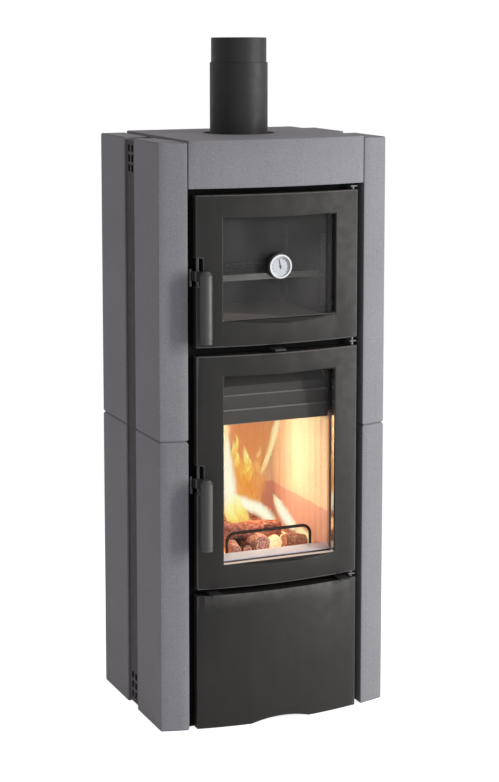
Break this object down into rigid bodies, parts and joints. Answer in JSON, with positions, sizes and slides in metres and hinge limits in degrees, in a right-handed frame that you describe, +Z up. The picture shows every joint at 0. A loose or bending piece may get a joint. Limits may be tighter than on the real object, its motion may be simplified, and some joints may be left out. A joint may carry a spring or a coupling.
{
  "type": "wood stove",
  "caption": "Tall free-standing wood stove clad in grey stone blocks, with a baking oven and its thermometer above a glazed firebox, a base door and a top flue pipe.",
  "frame": {"origin": "on the floor, under the flue pipe's axis", "axes": "+Z up along the flue; -Y is the front with the doors; +X is the right-hand side, where the doors are hinged"},
  "size_m": [0.638, 0.505, 1.78],
  "materials": {
    "stone": "fine-grained cast stone with dark and light speckles, matt",
    "fire_clay": "cream vermiculite board and fire clay, matt, warm from the fire",
    "oven_glass": "clear heat-resistant glass",
    "fire_glass": "clear ceramic glass",
    "rope_seal": "braided heat-resistant rope, dark grey",
    "door_paint": "anthracite heat-resistant paint, satin",
    "grip_steel": "dark grey satin",
    "lever_steel": "black heat-resistant paint",
    "flue_paint": "dark grey heat-resistant paint, satin",
    "raw_iron": "bare iron, sooty",
    "bright_steel": "bare steel, lightly brushed",
    "gauge_metal": "polished bezel on a black case",
    "dial_white": "white enamel",
    "needle_black": "black",
    "vent_steel": "warm grey paint",
    "galvanised": "dark grey powder coat",
    "oven_steel": "dark enamel",
    "body_steel": "black heat-resistant paint, matt"
  },
  "bodies": {
    "root": {"air_deflector": "body_steel", "baffle_plate": "fire_clay", "base_plate": "body_steel", "door_hinges": "bright_steel", "firebox_floor": "body_steel", "floor_bricks": "fire_clay", "flue_collar": "body_steel", "flue_pipe": "flue_paint", "front_fascia": "body_steel", "front_lintel": "stone", "front_pillar_left_lower": "stone", "front_pillar_left_upper": "stone", "front_pillar_right_lower": "stone", "front_pillar_right_upper": "stone", "grate": "raw_iron", "latch_strikers": "bright_steel", "log_retainer": "raw_iron", "oven_box": "oven_steel", "oven_floor_slab": "fire_clay", "rack_runners": "bright_steel", "rear_cover": "galvanised", "rear_cover_screws": "bright_steel", "rear_lining": "fire_clay", "rear_stone_left_lower": "stone", "rear_stone_left_upper": "stone", "rear_stone_right_lower": "stone", "rear_stone_right_upper": "stone", "side_lining_left": "fire_clay", "side_lining_right": "fire_clay", "side_panel_left": "body_steel", "side_panel_right": "body_steel", "sill_strip": "bright_steel", "smoke_case": "body_steel", "smoke_deck": "body_steel", "top_deck": "body_steel", "top_plate": "stone", "vent_strip_left": "vent_steel", "vent_strip_right": "vent_steel"},
    "oven_door": {"oven_door_frame": "door_paint", "oven_glass": "oven_glass", "oven_glass_clips": "bright_steel", "oven_door_gasket": "rope_seal", "thermometer_case": "gauge_metal", "thermometer_nut": "bright_steel", "thermometer_dial": "dial_white"},
    "oven_handle": {"oven_handle_arm": "lever_steel", "oven_handle_grip": "grip_steel"},
    "needle": {"thermometer_needle": "needle_black"},
    "fire_door": {"fire_door_frame": "door_paint", "fire_glass": "fire_glass", "fire_glass_clips": "bright_steel", "fire_door_gasket": "rope_seal"},
    "fire_handle": {"fire_handle_arm": "lever_steel", "fire_handle_grip": "grip_steel"},
    "base_door": {"base_door_panel": "door_paint"},
    "ash_pan": {"ash_pan": "body_steel"},
    "oven_rack": {"oven_rack": "bright_steel"},
    "bypass_damper": {"bypass_damper": "lever_steel"},
    "primary_air": {"primary_air_lever": "lever_steel"},
    "secondary_air": {"secondary_air_lever": "lever_steel"}
  },
  "joints": [
    {"name": "oven_door_hinge", "type": "hinge", "parent": "root", "child": "oven_door", "pos_m": [0.217, -0.245, 1.1965], "axis": [0, 0, 1], "range_deg": [0, 100]},
    {"name": "oven_handle_latch", "type": "hinge", "parent": "oven_door", "child": "oven_handle", "pos_m": [-0.221, -0.25, 1.186], "axis": [0, 0, -1], "range_deg": [0, 30]},
    {"name": "thermometer_needle_turn", "type": "hinge", "parent": "oven_door", "child": "needle", "pos_m": [0, -0.2718, 1.202], "axis": [0, 1, 0], "range_deg": [-118, 142]},
    {"name": "fire_door_hinge", "type": "hinge", "parent": "root", "child": "fire_door", "pos_m": [0.217, -0.245, 0.6765], "axis": [0, 0, 1], "range_deg": [0, 100]},
    {"name": "fire_handle_latch", "type": "hinge", "parent": "fire_door", "child": "fire_handle", "pos_m": [-0.221, -0.25, 0.652], "axis": [0, 0, -1], "range_deg": [0, 30]},
    {"name": "base_door_hinge", "type": "hinge", "parent": "root", "child": "base_door", "pos_m": [0.217, -0.245, 0.179], "axis": [0, 0, 1], "range_deg": [0, 100]},
    {"name": "ash_pan_slide", "type": "slide", "parent": "root", "child": "ash_pan", "axis": [0, -1, 0], "range_m": [0, 0.2]},
    {"name": "oven_rack_slide", "type": "slide", "parent": "root", "child": "oven_rack", "axis": [0, -1, 0], "range_m": [0, 0.17]},
    {"name": "bypass_damper_slide", "type": "slide", "parent": "root", "child": "bypass_damper", "axis": [0, -1, 0], "range_m": [0, 0.06]},
    {"name": "primary_air_slide", "type": "slide", "parent": "root", "child": "primary_air", "axis": [1, 0, 0], "range_m": [0, 0.05]},
    {"name": "secondary_air_slide", "type": "slide", "parent": "root", "child": "secondary_air", "axis": [-1, 0, 0], "range_m": [0, 0.05]}
  ],
  "couplings": [
    {"joint": "ash_pan_slide", "follows": "base_door_hinge", "m_per_rad": 0.1135},
    {"joint": "oven_rack_slide", "follows": "oven_door_hinge", "m_per_rad": 0.0965}
  ]
}
